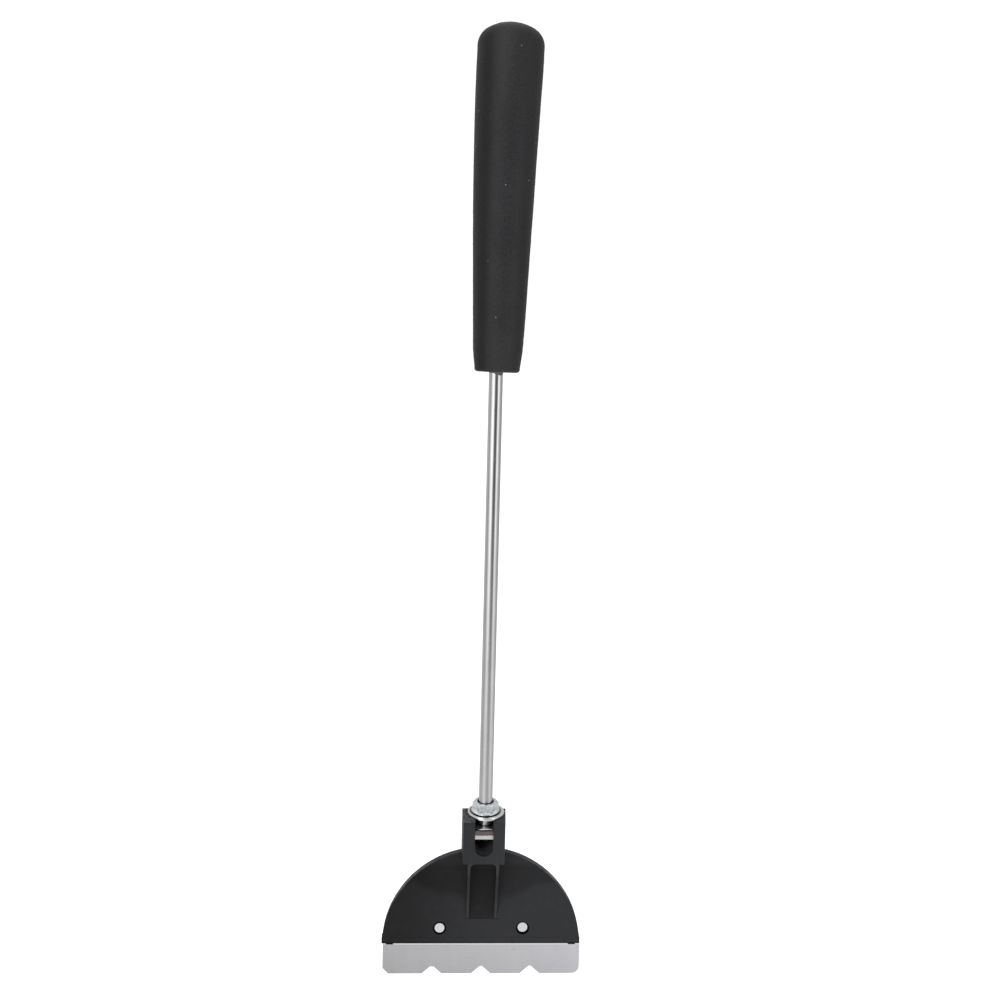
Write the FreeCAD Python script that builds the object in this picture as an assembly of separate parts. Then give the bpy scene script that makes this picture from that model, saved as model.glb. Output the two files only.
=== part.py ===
"""Long-handled algae scraper: a foam grip on a steel rod that screws into a moulded half-moon head
with a notched steel blade.

Millimetres. +Z runs up the rod, from the blade to the grip. +X is across the blade. The head's raised
neck faces -Y, and its flat back faces +Y. Heights below are measured up from the blade's edge. The
origin is where a hand holds the grip: on the rod's centre line, HOLD_HEIGHT above the blade's edge.
"""
import FreeCAD, Part
import math
import os

V = FreeCAD.Vector

# --- Driving dimensions -----------------------------------------------------------------------------

# Handle rod: a plain 6 mm bar with an M6 thread at its lower end
ROD_R = 3.0
ROD_BOTTOM = 67.2
ROD_TOP = 393.0
THREAD_TOP = 81.5
THREAD_R = 2.95
THREAD_PITCH = 1.0
THREAD_DEPTH = 0.55
THREAD_GROOVE_WIDTH = 0.86
ROD_CHAMFER = 0.5

# Foam grip
GRIP_BOTTOM = 269.2
GRIP_TOP = 412.2
GRIP_CROWN_R = 20.0
GRIP_SHOULDER_R = 7.0
GRIP_MAX_R = 13.9
GRIP_MAX_HEIGHT = 393.6
GRIP_MID_R = 12.55
GRIP_MID_HEIGHT = 336.1
GRIP_NECK_R = 10.5
GRIP_NECK_HEIGHT = 278.4
GRIP_TOE_R = 9.6
GRIP_TOE_HEIGHT = 271.0
GRIP_FOOT_R = 8.3
GRIP_LEAN_DEG = 1.0
GRIP_OFFSET_X = 0.4
HOLD_HEIGHT = 340.0

# M6 hardware: a hexagon flange nut, a plain washer and a square nut. The washer has slid to one side.
THREAD_BORE_R = 3.02
HEX_FLATS = 10.0
NUT_CHAMFER_DEG = 30.0
CHAMFER_INSET = 0.2
WASHER_R = 8.0
WASHER_BORE_R = 3.4
WASHER_THICKNESS = 1.15
WASHER_EDGE_R = 0.3
WASHER_OFFSET_X = 0.3
FLANGE_R = 6.15
FLANGE_FOOT_R = 5.2
FLANGE_RIM_BOTTOM = 0.35
FLANGE_RIM_TOP = 0.7
FLANGE_TOP = 1.35
FLANGE_NUT_HEIGHT = 4.35
NUT_SINK_R = 3.6
NUT_SINK_DEPTH = 1.4
NECK_NUT_WIDTH = 10.0
NECK_NUT_HEIGHT = 5.0

# Head: a half-moon plate with a neck block standing on its top edge. It sits a little to one side of
# the rod, as far as its pocket lets it.
HEAD_OFFSET_X = -0.5
BACK_Y = 6.4
PLATE_THICKNESS = 3.2
PLATE_R = 44.05
PLATE_CENTRE_HEIGHT = 14.15
PLATE_BOTTOM = 14.85
PLATE_EDGE_R = 0.45
BAND_HEIGHT = 2.75
BAND_HALF_WIDTH = 44.15
BAND_PROUD = 0.05
NUB_INNER_X = 39.0
NUB_OUTER_X = 42.2
NUB_DROP = 0.5

NECK_TOP = 76.5
NECK_FRONT_Y = -8.2
NECK_FRONT_HALF_WIDTH = 9.05
NECK_BACK_HALF_WIDTH = 9.65
NECK_FRONT_BOTTOM = 57.4
NECK_WEDGE_BOTTOM = 51.0
NECK_TOP_BACK_R = 2.5
NECK_TOP_FRONT_R = 0.5
NECK_FRONT_EDGE_R = 0.7
NECK_BACK_EDGE_R = 2.0

TOP_WALL = 4.5
SLOT_HALF_WIDTH = 4.0
SLOT_BOTTOM = 60.9
SLOT_BACK_Y = 4.4
POCKET_HALF_WIDTH = 5.6
POCKET_FRONT_Y = -5.12
POCKET_BOTTOM = 66.8

RIB_INNER_X = 5.6
RIB_OUTER_X = 6.9
RIB_EDGE_R = 0.5
RIB_FOOT_HEIGHT = 26.6
CHANNEL_TOP = 57.5
CHANNEL_CORNER_R = 2.3
CHANNEL_RECESS = 0.8
CHANNEL_FOOT_RECESS = 0.1
FOOT_GROOVE_OVERHANG = 0.9
FOOT_GROOVE_HEIGHT = 0.45
FOOT_GROOVE_DEPTH = 0.2

# Blade and its two rivets. The blade's ends and notches aren't quite even about the head.
BLADE_THICKNESS = 0.8
BLADE_LEFT_X = -43.65
BLADE_RIGHT_X = 44.45
BLADE_CORNER = 2.6
BLADE_CORNER_R = 3.2
TANG_HALF_WIDTH = 39.0
TANG_TOP = 26.0
TANG_PLAY = 0.05
# Each notch: its middle, half its width, its depth and half the width of its blunt tip
NOTCHES = [(-21.7, 4.4, 3.2, 0.8), (0.3, 4.35, 3.45, 0.4), (22.2, 4.35, 3.5, 0.45)]
RIVET_X = 18.5
RIVET_HEIGHT = 21.9
RIVET_SHANK_R = 1.6
RIVET_HEAD_R = 2.15
RIVET_RECESS_R = 2.9
RIVET_RECESS_DEPTH = 0.95
LEFT_RIVET_SINK = 0.2
RIGHT_RIVET_SINK = 0.65
RIVET_BACK_SINK = 0.2

# --- Worked-out dimensions --------------------------------------------------------------------------

PLATE_FRONT_Y = BACK_Y - PLATE_THICKNESS
BLADE_FRONT_Y = PLATE_FRONT_Y + (PLATE_THICKNESS - BLADE_THICKNESS) / 2
WASHER_TOP = NECK_TOP + WASHER_THICKNESS
NECK_NUT_TOP = NECK_TOP - TOP_WALL
NECK_NUT_BOTTOM = NECK_NUT_TOP - NECK_NUT_HEIGHT
HEX_CORNER_R = HEX_FLATS / 2 / math.cos(math.pi / 6)
OVERCUT = 1.0
TOUCH = 1e-6


# --- Helpers ----------------------------------------------------------------------------------------

def polygon_face(points):
    """A flat face through the points, in order."""
    return Part.Face(Part.makePolygon(list(points) + [points[0]]))


def face_of(edges):
    """A flat face bounded by the edges, in order."""
    return Part.Face(Part.Wire([edge.toShape() for edge in edges]))


def turned(profile, lowest):
    """A solid of revolution about the Z axis from (radius, height) points."""
    face = polygon_face([V(r, 0, lowest + h) for r, h in profile])
    return face.revolve(V(0, 0, 0), V(0, 0, 1), 360)


def box_between(low, high):
    """A box from its lowest to its highest corner."""
    size = [b - a for a, b in zip(low, high)]
    return Part.makeBox(*size, V(*low))


def cylinder_y(radius, x, height, y_from, y_to):
    """A cylinder along +Y."""
    return Part.makeCylinder(radius, y_to - y_from, V(x, y_from, height), V(0, 1, 0))


def bar_upright(corners, bottom, height):
    """An upright bar from the (x, y) corners of its section."""
    return polygon_face([V(x, y, bottom) for x, y in corners]).extrude(V(0, 0, height))


def chamfered(bar, flats, corner_r, bottom, height):
    """A nut blank with its upper corners turned off in a cone that just clears its flats."""
    top_r = flats / 2 - CHAMFER_INSET
    drop = (corner_r + OVERCUT - top_r) * math.tan(math.radians(NUT_CHAMFER_DEG))
    return bar.common(turned([
        (0, 0),
        (corner_r + OVERCUT, 0),
        (corner_r + OVERCUT, height - drop),
        (top_r, height),
        (0, height),
    ], bottom))


# --- Handle -----------------------------------------------------------------------------------------

def grip_outline():
    """Half section of the grip: flat foot, toe, bowed taper, shoulder arc and crown arc."""
    shoulder_x = GRIP_MAX_R - GRIP_SHOULDER_R
    crown_z = GRIP_TOP - GRIP_CROWN_R
    reach = GRIP_CROWN_R - GRIP_SHOULDER_R
    shoulder_z = crown_z + math.sqrt(reach ** 2 - shoulder_x ** 2)
    tangent_angle = math.atan2(shoulder_z - crown_z, shoulder_x)

    def on_shoulder(angle):
        return V(shoulder_x + GRIP_SHOULDER_R * math.cos(angle), 0,
                 shoulder_z + GRIP_SHOULDER_R * math.sin(angle))

    def on_crown(angle):
        return V(GRIP_CROWN_R * math.cos(angle), 0, crown_z + GRIP_CROWN_R * math.sin(angle))

    foot_centre = V(0, 0, GRIP_BOTTOM)
    foot = V(GRIP_FOOT_R, 0, GRIP_BOTTOM)
    toe = V(GRIP_TOE_R, 0, GRIP_TOE_HEIGHT)
    toe_corner = V((GRIP_FOOT_R + 2 * GRIP_TOE_R) / 3, 0, GRIP_BOTTOM + 0.35)
    neck = V(GRIP_NECK_R, 0, GRIP_NECK_HEIGHT)
    widest = V(GRIP_MAX_R, 0, GRIP_MAX_HEIGHT)
    shoulder_start = V(GRIP_MAX_R, 0, shoulder_z)
    crown_start = on_shoulder(tangent_angle)
    top = V(0, 0, GRIP_TOP)
    return [
        Part.LineSegment(foot_centre, foot),
        Part.Arc(foot, toe_corner, toe),
        Part.LineSegment(toe, neck),
        Part.Arc(neck, V(GRIP_MID_R, 0, GRIP_MID_HEIGHT), widest),
        Part.LineSegment(widest, shoulder_start),
        Part.Arc(shoulder_start, on_shoulder(tangent_angle / 2), crown_start),
        Part.Arc(crown_start, on_crown((tangent_angle + math.pi / 2) / 2), top),
        Part.LineSegment(top, foot_centre),
    ]


def foam_grip():
    """Closed-end foam grip, glued on a little askew."""
    grip = face_of(grip_outline()).revolve(V(0, 0, 0), V(0, 0, 1), 360)
    grip.rotate(V(0, 0, GRIP_BOTTOM), V(0, 1, 0), GRIP_LEAN_DEG)
    grip.translate(V(GRIP_OFFSET_X, 0, 0))
    rod_hole = Part.makeCylinder(ROD_R, ROD_TOP - GRIP_BOTTOM + OVERCUT, V(0, 0, GRIP_BOTTOM - OVERCUT))
    return grip.cut(rod_hole)


def thread_groove():
    """The helical V groove of the rod's thread."""
    length = THREAD_TOP - ROD_BOTTOM + THREAD_PITCH
    start = ROD_BOTTOM - THREAD_PITCH
    helix = Part.makeHelix(THREAD_PITCH, length, THREAD_R)
    helix.translate(V(0, 0, start))
    half = THREAD_GROOVE_WIDTH / 2
    overreach = 0.1
    slope = half / THREAD_DEPTH
    groove = Part.makePolygon([
        V(THREAD_R + overreach, 0, start - half - overreach * slope),
        V(THREAD_R - THREAD_DEPTH, 0, start),
        V(THREAD_R + overreach, 0, start + half + overreach * slope),
        V(THREAD_R + overreach, 0, start - half - overreach * slope),
    ])
    sweep = Part.BRepOffsetAPI.MakePipeShell(helix)
    sweep.setFrenetMode(True)
    sweep.add(groove)
    sweep.build()
    sweep.makeSolid()
    return sweep.shape()


def handle_rod():
    """Plain bar, necked and threaded at the lower end, chamfered at both ends."""
    length = ROD_TOP - ROD_BOTTOM
    shoulder = THREAD_TOP - ROD_BOTTOM
    bar = turned([
        (0, 0),
        (THREAD_R - ROD_CHAMFER, 0),
        (THREAD_R, ROD_CHAMFER),
        (THREAD_R, shoulder),
        (ROD_R, shoulder + ROD_R - THREAD_R),
        (ROD_R, length - ROD_CHAMFER),
        (ROD_R - ROD_CHAMFER, length),
        (0, length),
    ], ROD_BOTTOM)
    return bar.cut(thread_groove())


# --- Fasteners --------------------------------------------------------------------------------------

def washer():
    """Plain washer with a rounded rim."""
    centre = V(WASHER_OFFSET_X, 0, NECK_TOP)
    ring = Part.makeCylinder(WASHER_R, WASHER_THICKNESS, centre)
    ring = ring.makeFillet(WASHER_EDGE_R, [e for e in ring.Edges if isinstance(e.Curve, Part.Circle)])
    return ring.cut(Part.makeCylinder(WASHER_BORE_R, WASHER_THICKNESS, centre))


def flange_nut():
    """Hexagon nut on its own flange, one flat to the front, with a steep countersink at its top."""
    angles = [math.radians(60 * i) for i in range(6)]
    corners = [(HEX_CORNER_R * math.cos(a), HEX_CORNER_R * math.sin(a)) for a in angles]
    hexagon = bar_upright(corners, WASHER_TOP + FLANGE_RIM_TOP, FLANGE_NUT_HEIGHT - FLANGE_RIM_TOP)
    hexagon = chamfered(hexagon, HEX_FLATS, HEX_CORNER_R, WASHER_TOP, FLANGE_NUT_HEIGHT)
    flange = turned([
        (0, 0),
        (FLANGE_FOOT_R, 0),
        (FLANGE_R, FLANGE_RIM_BOTTOM),
        (FLANGE_R, FLANGE_RIM_TOP),
        (HEX_FLATS / 2, FLANGE_TOP),
        (0, FLANGE_TOP),
    ], WASHER_TOP)
    bore = turned([
        (0, 0),
        (THREAD_BORE_R, 0),
        (THREAD_BORE_R, FLANGE_NUT_HEIGHT - NUT_SINK_DEPTH),
        (NUT_SINK_R, FLANGE_NUT_HEIGHT),
        (0, FLANGE_NUT_HEIGHT),
    ], WASHER_TOP)
    return hexagon.fuse(flange).removeSplitter().cut(bore)


def neck_nut():
    """Square nut held in the neck's pocket, one side to the front."""
    half = NECK_NUT_WIDTH / 2
    corners = [(-half, -half), (half, -half), (half, half), (-half, half)]
    square = bar_upright(corners, NECK_NUT_BOTTOM, NECK_NUT_HEIGHT)
    square = chamfered(square, NECK_NUT_WIDTH, half * math.sqrt(2), NECK_NUT_BOTTOM, NECK_NUT_HEIGHT)
    return square.cut(Part.makeCylinder(THREAD_BORE_R, NECK_NUT_HEIGHT, V(0, 0, NECK_NUT_BOTTOM)))


# --- Head -------------------------------------------------------------------------------------------

def half_moon_plate():
    """Half-moon plate with a rounded rim and a thicker band along its lower edge."""
    drop = PLATE_BOTTOM - PLATE_CENTRE_HEIGHT
    half_chord = math.sqrt(PLATE_R ** 2 - drop ** 2)
    left = V(-half_chord, PLATE_FRONT_Y, PLATE_BOTTOM)
    right = V(half_chord, PLATE_FRONT_Y, PLATE_BOTTOM)
    crown = V(0, PLATE_FRONT_Y, PLATE_CENTRE_HEIGHT + PLATE_R)
    outline = face_of([Part.Arc(left, crown, right), Part.LineSegment(right, left)])
    plate = outline.extrude(V(0, PLATE_THICKNESS, 0))
    rim = [e for e in plate.Edges if isinstance(e.Curve, Part.Circle)]
    plate = plate.makeFillet(PLATE_EDGE_R, rim)
    band = box_between(
        (-BAND_HALF_WIDTH, PLATE_FRONT_Y - BAND_PROUD, PLATE_BOTTOM),
        (BAND_HALF_WIDTH, BACK_Y, PLATE_BOTTOM + BAND_HEIGHT),
    )
    return plate.fuse(band)


def lower_nubs():
    """Two small nubs that hang in front of the blade near its ends."""
    left = box_between(
        (-NUB_OUTER_X, PLATE_FRONT_Y - BAND_PROUD, PLATE_BOTTOM - NUB_DROP),
        (-NUB_INNER_X, BLADE_FRONT_Y - TANG_PLAY, PLATE_BOTTOM + NUB_DROP),
    )
    return [left, left.mirror(V(0, 0, 0), V(1, 0, 0))]


def neck_block():
    """Drafted block above the plate: its plan outline and its side outline, crossed."""
    front, back = NECK_FRONT_HALF_WIDTH, NECK_BACK_HALF_WIDTH
    plan = polygon_face([
        V(-back, BACK_Y, NECK_WEDGE_BOTTOM),
        V(-front, NECK_FRONT_Y, NECK_WEDGE_BOTTOM),
        V(front, NECK_FRONT_Y, NECK_WEDGE_BOTTOM),
        V(back, BACK_Y, NECK_WEDGE_BOTTOM),
    ]).extrude(V(0, 0, NECK_TOP - NECK_WEDGE_BOTTOM))
    middle = (NECK_TOP + NECK_WEDGE_BOTTOM) / 2
    upright = [e for e in plan.Edges if abs(e.CenterOfMass.z - middle) < TOUCH]
    plan = plan.makeFillet(NECK_FRONT_EDGE_R, [e for e in upright if e.CenterOfMass.y < 0])
    upright = [e for e in plan.Edges if abs(e.CenterOfMass.z - middle) < TOUCH]
    plan = plan.makeFillet(NECK_BACK_EDGE_R, [e for e in upright if e.CenterOfMass.y > BACK_Y - TOUCH])

    def side_point(y, height):
        return V(-back - OVERCUT, y, height)

    diagonal = math.sqrt(0.5)
    r_back, r_front = NECK_TOP_BACK_R, NECK_TOP_FRONT_R
    side = face_of([
        Part.LineSegment(side_point(BACK_Y, NECK_WEDGE_BOTTOM), side_point(BACK_Y, NECK_TOP - r_back)),
        Part.Arc(side_point(BACK_Y, NECK_TOP - r_back),
                 side_point(BACK_Y - r_back * (1 - diagonal), NECK_TOP - r_back * (1 - diagonal)),
                 side_point(BACK_Y - r_back, NECK_TOP)),
        Part.LineSegment(side_point(BACK_Y - r_back, NECK_TOP), side_point(NECK_FRONT_Y + r_front, NECK_TOP)),
        Part.Arc(side_point(NECK_FRONT_Y + r_front, NECK_TOP),
                 side_point(NECK_FRONT_Y + r_front * (1 - diagonal), NECK_TOP - r_front * (1 - diagonal)),
                 side_point(NECK_FRONT_Y, NECK_TOP - r_front)),
        Part.LineSegment(side_point(NECK_FRONT_Y, NECK_TOP - r_front),
                         side_point(NECK_FRONT_Y, NECK_FRONT_BOTTOM)),
        Part.LineSegment(side_point(NECK_FRONT_Y, NECK_FRONT_BOTTOM),
                         side_point(PLATE_FRONT_Y, NECK_WEDGE_BOTTOM)),
        Part.LineSegment(side_point(PLATE_FRONT_Y, NECK_WEDGE_BOTTOM), side_point(BACK_Y, NECK_WEDGE_BOTTOM)),
    ]).extrude(V(2 * (back + OVERCUT), 0, 0))
    return plan.common(side)


def gusset_wedge():
    """Wedge that carries the neck's front face down onto the plate; the channel leaves two ribs of it."""
    wedge = polygon_face([
        V(-RIB_OUTER_X, NECK_FRONT_Y, NECK_FRONT_BOTTOM),
        V(-RIB_OUTER_X, NECK_FRONT_Y, NECK_FRONT_BOTTOM + OVERCUT),
        V(-RIB_OUTER_X, BACK_Y - OVERCUT, NECK_FRONT_BOTTOM + OVERCUT),
        V(-RIB_OUTER_X, BACK_Y - OVERCUT, RIB_FOOT_HEIGHT),
        V(-RIB_OUTER_X, PLATE_FRONT_Y, RIB_FOOT_HEIGHT),
    ]).extrude(V(2 * RIB_OUTER_X, 0, 0))
    mid_y = (NECK_FRONT_Y + PLATE_FRONT_Y) / 2
    mid_height = (NECK_FRONT_BOTTOM + RIB_FOOT_HEIGHT) / 2
    sloping = [e for e in wedge.Edges
               if abs(abs(e.CenterOfMass.x) - RIB_OUTER_X) < TOUCH
               and abs(e.CenterOfMass.y - mid_y) < TOUCH
               and abs(e.CenterOfMass.z - mid_height) < TOUCH]
    return wedge.makeFillet(RIB_EDGE_R, sloping)


def rounded_slot(half_width, bottom, top, y_from, y_to):
    """A cutter for an upright slot along Y with a half-round lower end."""
    centre = bottom + half_width
    upright = box_between((-half_width, y_from, centre), (half_width, y_to, top))
    return upright.fuse(cylinder_y(half_width, 0, centre, y_from, y_to))


def rod_slot():
    """Cutter for the neck's front slot: down past the nut, and through the top wall back to the rod."""
    front = NECK_FRONT_Y - OVERCUT
    lower = rounded_slot(SLOT_HALF_WIDTH, SLOT_BOTTOM, NECK_NUT_TOP, front, SLOT_BACK_Y)
    over = box_between(
        (-SLOT_HALF_WIDTH, front, NECK_NUT_TOP),
        (SLOT_HALF_WIDTH, 0, NECK_TOP + OVERCUT),
    )
    seat = Part.makeCylinder(SLOT_HALF_WIDTH, TOP_WALL + OVERCUT, V(0, 0, NECK_NUT_TOP))
    return lower.fuse(over).fuse(seat)


def nut_pocket():
    """Cutter for the pocket that takes the neck's nut from behind and stops it turning."""
    return box_between(
        (-POCKET_HALF_WIDTH, POCKET_FRONT_Y, POCKET_BOTTOM),
        (POCKET_HALF_WIDTH, BACK_Y + OVERCUT, NECK_NUT_TOP),
    )


def rib_channel():
    """Cutter for the arched channel between the ribs, whose floor runs out to the plate at its foot."""
    front = NECK_FRONT_Y - OVERCUT
    block = polygon_face([
        V(-RIB_INNER_X, front, RIB_FOOT_HEIGHT),
        V(-RIB_INNER_X, front, CHANNEL_TOP),
        V(-RIB_INNER_X, PLATE_FRONT_Y + CHANNEL_RECESS, CHANNEL_TOP),
        V(-RIB_INNER_X, PLATE_FRONT_Y + CHANNEL_FOOT_RECESS, RIB_FOOT_HEIGHT),
    ]).extrude(V(2 * RIB_INNER_X, 0, 0))
    upper = [e for e in block.Edges
             if abs(e.CenterOfMass.z - CHANNEL_TOP) < TOUCH
             and abs(abs(e.CenterOfMass.x) - RIB_INNER_X) < TOUCH]
    return block.makeFillet(CHANNEL_CORNER_R, upper)


def foot_groove():
    """Cutter for the fine groove across the plate at the ribs' feet."""
    reach = RIB_OUTER_X + FOOT_GROOVE_OVERHANG
    return box_between(
        (-reach, PLATE_FRONT_Y - OVERCUT, RIB_FOOT_HEIGHT - FOOT_GROOVE_HEIGHT),
        (reach, PLATE_FRONT_Y + FOOT_GROOVE_DEPTH, RIB_FOOT_HEIGHT),
    )


def blade_slot():
    """Cutter for the slot that takes the blade's tang."""
    return box_between(
        (-TANG_HALF_WIDTH - TANG_PLAY, BLADE_FRONT_Y - TANG_PLAY, PLATE_BOTTOM - OVERCUT),
        (TANG_HALF_WIDTH + TANG_PLAY, BLADE_FRONT_Y + BLADE_THICKNESS + TANG_PLAY, TANG_TOP + TANG_PLAY),
    )


def scraper_head():
    """The moulded head, in one piece."""
    head = half_moon_plate().fuse([neck_block(), gusset_wedge()] + lower_nubs()).removeSplitter()
    head = head.cut([rod_slot(), nut_pocket(), rib_channel(), foot_groove(), blade_slot()])
    front = PLATE_FRONT_Y - OVERCUT
    for x in (-RIVET_X, RIVET_X):
        head = head.cut([
            cylinder_y(RIVET_SHANK_R, x, RIVET_HEIGHT, front, BACK_Y + OVERCUT),
            cylinder_y(RIVET_RECESS_R, x, RIVET_HEIGHT, front, PLATE_FRONT_Y + RIVET_RECESS_DEPTH),
            cylinder_y(RIVET_RECESS_R, x, RIVET_HEIGHT, BACK_Y - RIVET_RECESS_DEPTH, BACK_Y + OVERCUT),
        ])
    return head


# --- Blade ------------------------------------------------------------------------------------------

def blade_outline():
    """The blade's flat outline, from the left chamfered corner along the notched edge to the tang."""
    y = BLADE_FRONT_Y
    corners = [V(BLADE_LEFT_X, y, BLADE_CORNER), V(BLADE_LEFT_X + BLADE_CORNER, y, 0)]
    for x, half_width, depth, blunt in NOTCHES:
        corners += [
            V(x - half_width, y, 0),
            V(x - blunt, y, depth),
            V(x + blunt, y, depth),
            V(x + half_width, y, 0),
        ]
    round_start = V(BLADE_RIGHT_X - BLADE_CORNER_R, y, 0)
    corners.append(round_start)
    edges = [Part.LineSegment(a, b) for a, b in zip(corners, corners[1:])]
    bow = BLADE_CORNER_R * (1 - math.sqrt(0.5))
    round_end = V(BLADE_RIGHT_X, y, BLADE_CORNER_R)
    edges.append(Part.Arc(round_start, V(BLADE_RIGHT_X - bow, y, bow), round_end))
    upper = [
        round_end,
        V(BLADE_RIGHT_X, y, PLATE_BOTTOM),
        V(TANG_HALF_WIDTH, y, PLATE_BOTTOM),
        V(TANG_HALF_WIDTH, y, TANG_TOP),
        V(-TANG_HALF_WIDTH, y, TANG_TOP),
        V(-TANG_HALF_WIDTH, y, PLATE_BOTTOM),
        V(BLADE_LEFT_X, y, PLATE_BOTTOM),
        corners[0],
    ]
    return edges + [Part.LineSegment(a, b) for a, b in zip(upper, upper[1:])]


def scraper_blade():
    """Stamped blade with three V notches and a tang that goes up into the head."""
    blade = face_of(blade_outline()).extrude(V(0, BLADE_THICKNESS, 0))
    for x in (-RIVET_X, RIVET_X):
        blade = blade.cut(cylinder_y(RIVET_SHANK_R, x, RIVET_HEIGHT,
                                     BLADE_FRONT_Y - OVERCUT, BLADE_FRONT_Y + BLADE_THICKNESS + OVERCUT))
    return blade


def blade_rivet(x, front_sink):
    """Flat-headed rivet through plate and blade, its front head sunk by front_sink."""
    front_floor = PLATE_FRONT_Y + RIVET_RECESS_DEPTH
    back_floor = BACK_Y - RIVET_RECESS_DEPTH
    shank = cylinder_y(RIVET_SHANK_R, x, RIVET_HEIGHT, front_floor, back_floor)
    front_head = cylinder_y(RIVET_HEAD_R, x, RIVET_HEIGHT, PLATE_FRONT_Y + front_sink, front_floor)
    back_head = cylinder_y(RIVET_HEAD_R, x, RIVET_HEIGHT, back_floor, BACK_Y - RIVET_BACK_SINK)
    return shank.fuse([front_head, back_head]).removeSplitter()


# --- Output -----------------------------------------------------------------------------------------

def main():
    """Builds every piece, moves the origin to the hand hold and writes one STEP file per piece."""
    pieces = {
        "foam_grip": foam_grip(),
        "handle_rod": handle_rod(),
        "flange_nut": flange_nut(),
        "washer": washer(),
        "neck_nut": neck_nut(),
        "scraper_head": scraper_head(),
        "scraper_blade": scraper_blade(),
        "blade_rivet_left": blade_rivet(-RIVET_X, LEFT_RIVET_SINK),
        "blade_rivet_right": blade_rivet(RIVET_X, RIGHT_RIVET_SINK),
    }
    for name in ("scraper_head", "scraper_blade", "blade_rivet_left", "blade_rivet_right"):
        pieces[name].translate(V(HEAD_OFFSET_X, 0, 0))
    os.makedirs("parts", exist_ok=True)
    for name, shape in pieces.items():
        shape.translate(V(0, 0, -HOLD_HEIGHT))
        shape.exportStep(f"parts/{name}.step")
        print(f"{name}: {len(shape.Solids)} solid, valid {shape.isValid()}, {shape.Volume / 1000:.2f} cm3")


main()
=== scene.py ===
"""Looks for the long-handled algae scraper: a foam grip built as its own piece, a ring of adhesive under
it, procedural materials for every other node, and a pale studio set. Metres, in the CAD frame: +Z runs
up the rod, -Y is the front, and the origin is on the rod's centre line where a hand holds the grip.
"""
import math

import bmesh
import bpy
from mathutils import Matrix, Vector, noise


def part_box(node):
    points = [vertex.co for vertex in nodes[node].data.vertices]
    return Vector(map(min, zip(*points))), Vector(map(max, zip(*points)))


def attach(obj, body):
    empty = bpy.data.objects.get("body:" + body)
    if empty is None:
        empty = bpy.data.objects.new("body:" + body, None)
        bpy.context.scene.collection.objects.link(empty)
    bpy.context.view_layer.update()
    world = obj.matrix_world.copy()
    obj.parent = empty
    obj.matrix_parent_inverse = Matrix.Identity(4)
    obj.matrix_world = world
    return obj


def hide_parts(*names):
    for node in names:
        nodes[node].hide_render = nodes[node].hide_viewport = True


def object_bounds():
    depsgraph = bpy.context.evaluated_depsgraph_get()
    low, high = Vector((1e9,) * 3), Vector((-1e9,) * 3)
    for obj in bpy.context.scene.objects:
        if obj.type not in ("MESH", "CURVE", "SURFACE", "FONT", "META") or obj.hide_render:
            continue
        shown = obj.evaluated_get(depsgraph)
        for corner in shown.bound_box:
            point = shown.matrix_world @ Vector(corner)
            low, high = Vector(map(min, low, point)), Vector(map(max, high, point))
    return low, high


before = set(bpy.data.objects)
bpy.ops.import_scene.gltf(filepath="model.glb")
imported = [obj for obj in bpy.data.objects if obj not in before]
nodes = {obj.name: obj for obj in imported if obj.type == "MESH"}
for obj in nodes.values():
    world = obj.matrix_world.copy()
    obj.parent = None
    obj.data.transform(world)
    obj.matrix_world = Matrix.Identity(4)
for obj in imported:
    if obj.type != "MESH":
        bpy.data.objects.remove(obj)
cad_low, cad_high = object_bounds()

MM = 0.001

# --- Sizes that the frame doesn't give, as in the part's own source --------------------------------------

# The grip, measured up from its foot
GRIP_LENGTH = 143.0 * MM
GRIP_FOOT_R = 8.3 * MM
GRIP_TOE_R = 9.6 * MM
GRIP_TOE_RISE = 1.8 * MM
GRIP_TOE_CORNER_RISE = 0.35 * MM
GRIP_NECK_R = 10.5 * MM
GRIP_NECK_RISE = 9.2 * MM
GRIP_MID_R = 12.55 * MM
GRIP_MID_RISE = 66.9 * MM
GRIP_MAX_R = 13.9 * MM
GRIP_MAX_RISE = 124.4 * MM
GRIP_SHOULDER_R = 7.0 * MM
GRIP_CROWN_R = 20.0 * MM
GRIP_LEAN = math.radians(1.0)
GRIP_OFFSET_X = 0.4 * MM
GRIP_BOW = 0.25 * MM       # the soft grip bows this far to the left at its middle
CROWN_SHIFT = 0.25 * MM    # and its crown leans this far back to the right
CROWN_SHIFT_START = 0.72   # from here up the grip, as a share of its length,
CROWN_SHIFT_END = 0.96     # to here
ROD_HOLE_R = 3.03 * MM
ROD_HOLE_SPARE = 1.0 * MM  # the hole goes on past the rod's end
HOLE_BEVEL = 0.5 * MM

# The head
PLATE_R = 44.05 * MM
PLATE_CENTRE_DROP = 0.2 * MM      # the half-moon's centre, below the bottom of the head's box
PLATE_EDGE_RISE = 0.5 * MM        # the plate's lower edge, above it
NECK_LENGTH = 27.0 * MM
SLOT_LENGTH = 23.0 * MM
POCKET_HALF_WIDTH = 5.6 * MM
CHANNEL_HALF_WIDTH = 5.6 * MM
CHANNEL_FOOT_RISE = 12.0 * MM
RECESS_R = 2.9 * MM

# The hardware
NUT_BORE_R = 3.45 * MM
NUT_SINK_R = 3.8 * MM
FLANGE_SHADE_R = 6.9 * MM          # the washer's top is painted dark inside this radius, as shade under the flange nut
CAPTIVE_BROWN_RISE = 1.65 * MM    # the captive nut's brown band and its painted shade band, above its lower face
CAPTIVE_SHADE_RISE = 3.45 * MM
CAPTIVE_SHADE_TOP = 4.35 * MM

GRIP_RING_STEP = 0.55 * MM
GRIP_SEGMENTS = 160


# --- Node helpers ---------------------------------------------------------------------------------------

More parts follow.
